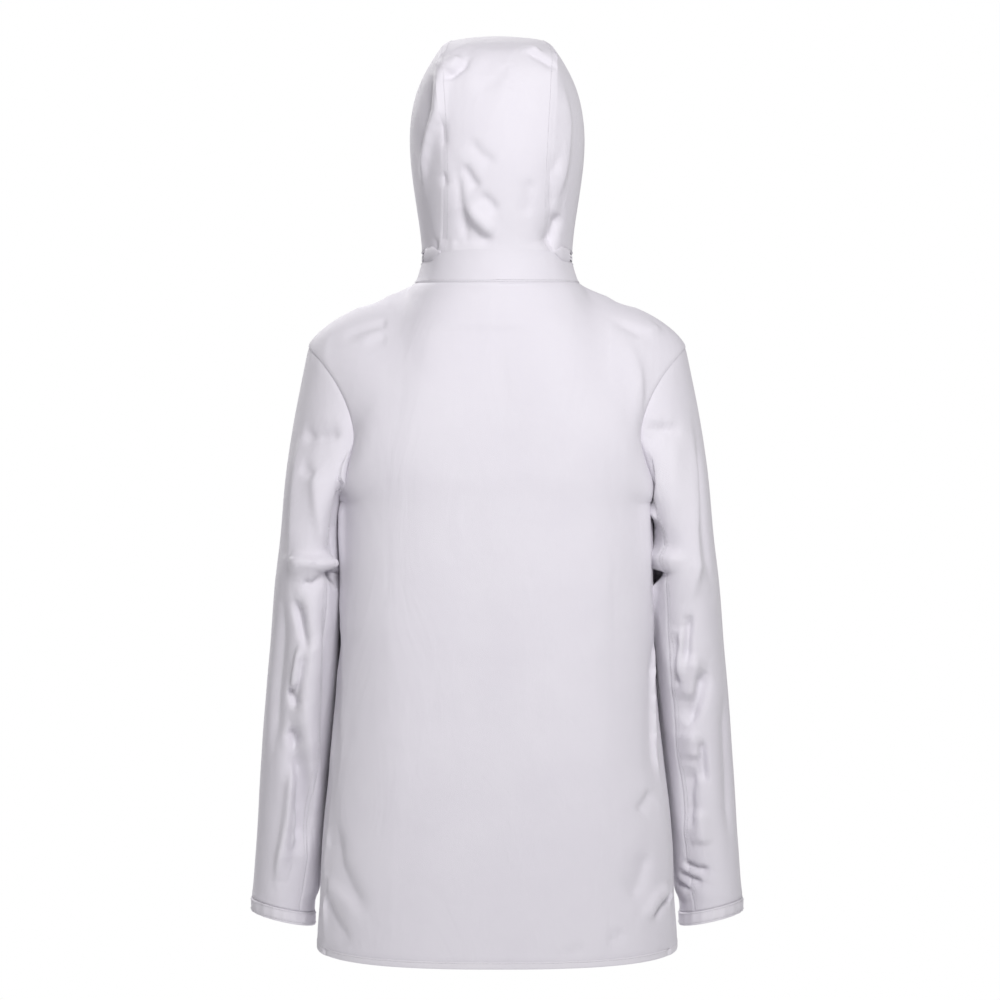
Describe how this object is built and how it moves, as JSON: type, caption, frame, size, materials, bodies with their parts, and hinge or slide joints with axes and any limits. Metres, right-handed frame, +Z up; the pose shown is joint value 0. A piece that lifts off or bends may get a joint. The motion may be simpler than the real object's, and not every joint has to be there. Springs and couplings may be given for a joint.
{
  "type": "beekeeping jacket",
  "caption": "Hip-length hooded beekeeping jacket in its worn shape: front zip, patch pockets, and a veil hood that unzips round the neck and tips back.",
  "frame": {"origin": "middle of the neck opening, at the height of the neck seam at centre back", "axes": "+Z up the wearer, -Y the way the wearer faces, +X the wearer's left"},
  "size_m": [0.548, 0.2983, 1.0274],
  "materials": {
    "cloth": "smooth white cotton and polyester twill",
    "binding": "white folded band",
    "tape": "woven white tape",
    "hook_and_loop": "napped white hook and loop",
    "veil_net": "black see-through net",
    "zip_teeth": "moulded white plastic",
    "boning": "flat white plastic strip",
    "zip_metal": "nickel plated"
  },
  "bodies": {
    "jacket": {"back_panel": "cloth", "left_front_panel": "cloth", "right_front_panel": "cloth", "left_outer_sleeve": "cloth", "left_under_sleeve": "cloth", "right_outer_sleeve": "cloth", "right_under_sleeve": "cloth", "collar": "cloth", "wind_guard": "cloth", "hem_binding": "binding", "left_cuff_band": "binding", "right_cuff_band": "binding", "left_cuff_elastic": "tape", "right_cuff_elastic": "tape", "left_hip_pocket": "cloth", "right_hip_pocket": "cloth", "chest_pocket": "cloth", "left_hip_loop_pad": "hook_and_loop", "right_hip_loop_pad": "hook_and_loop", "chest_loop_pad": "hook_and_loop", "throat_loop_pad": "hook_and_loop", "left_front_zip_tape": "tape", "right_front_zip_tape": "tape", "left_front_zip_teeth": "zip_teeth", "right_front_zip_teeth": "zip_teeth", "left_zip_stop": "zip_teeth", "right_zip_stop": "zip_teeth", "zip_foot_box": "zip_teeth", "left_collar_zip_tape": "tape", "right_collar_zip_tape": "tape", "left_collar_zip_teeth": "zip_teeth", "right_collar_zip_teeth": "zip_teeth", "hanger_loop": "binding"},
    "hood": {"hood_centre_panel": "cloth", "left_hood_panel": "cloth", "right_hood_panel": "cloth", "veil_bib": "cloth", "veil_net": "veil_net", "face_boning": "boning", "veil_boning": "boning", "hood_zip_tape": "tape", "hood_zip_teeth": "zip_teeth"},
    "front_slider": {"front_slider": "zip_metal"},
    "front_slider_pull": {"front_slider_pull": "zip_metal"},
    "left_neck_slider": {"left_neck_slider": "zip_metal"},
    "left_neck_slider_pull": {"left_neck_slider_pull": "zip_metal"},
    "right_neck_slider": {"right_neck_slider": "zip_metal"},
    "right_neck_slider_pull": {"right_neck_slider_pull": "zip_metal"},
    "left_hip_flap": {"left_hip_flap": "cloth", "left_hip_hook_pad": "hook_and_loop"},
    "right_hip_flap": {"right_hip_flap": "cloth", "right_hip_hook_pad": "hook_and_loop"},
    "chest_flap": {"chest_flap": "cloth", "chest_hook_pad": "hook_and_loop"},
    "throat_flap": {"throat_flap": "cloth", "throat_hook_pad": "hook_and_loop"}
  },
  "joints": [
    {"name": "hood_tilt", "type": "hinge", "parent": "jacket", "child": "hood", "pos_m": [0, 0.0832, 0.0398], "axis": [-1, 0, 0], "range_deg": [0, 120]},
    {"name": "front_zip_slide", "type": "slide", "parent": "jacket", "child": "front_slider", "axis": [0, -0.0538, -0.9986], "range_m": [0, 0.67]},
    {"name": "front_pull_swing", "type": "hinge", "parent": "front_slider", "child": "front_slider_pull", "pos_m": [0, -0.08839, -0.02356], "axis": [-1, 0, 0], "range_deg": [0, 110]},
    {"name": "left_neck_zip_slide", "type": "hinge", "parent": "jacket", "child": "left_neck_slider", "pos_m": [0, 0, 0.034], "axis": [0, -0.0698, 0.9976], "range_deg": [0, 97]},
    {"name": "left_neck_pull_swing", "type": "hinge", "parent": "left_neck_slider", "child": "left_neck_slider_pull", "pos_m": [0.00897, -0.08512, 0.02805], "axis": [0, 0.0698, -0.9976], "range_deg": [0, 110]},
    {"name": "right_neck_zip_slide", "type": "hinge", "parent": "jacket", "child": "right_neck_slider", "pos_m": [0, 0, 0.034], "axis": [0, 0.0698, -0.9976], "range_deg": [0, 97]},
    {"name": "right_neck_pull_swing", "type": "hinge", "parent": "right_neck_slider", "child": "right_neck_slider_pull", "pos_m": [-0.00897, -0.08512, 0.02805], "axis": [0, -0.0698, 0.9976], "range_deg": [0, 110]},
    {"name": "left_hip_flap_lift", "type": "hinge", "parent": "jacket", "child": "left_hip_flap", "pos_m": [0.13392, -0.08806, -0.44005], "axis": [-0.8493, -0.528, 0], "range_deg": [0, 100]},
    {"name": "right_hip_flap_lift", "type": "hinge", "parent": "jacket", "child": "right_hip_flap", "pos_m": [-0.13392, -0.08806, -0.44005], "axis": [-0.8493, 0.528, 0], "range_deg": [0, 100]},
    {"name": "chest_flap_lift", "type": "hinge", "parent": "jacket", "child": "chest_flap", "pos_m": [0.10925, -0.10014, -0.19198], "axis": [-0.9844, -0.1762, 0], "range_deg": [0, 100]},
    {"name": "throat_flap_open", "type": "hinge", "parent": "jacket", "child": "throat_flap", "pos_m": [0.04155, -0.07717, 0.00468], "axis": [-0.0518, 0.0665, 0.9964], "range_deg": [0, 100]}
  ]
}
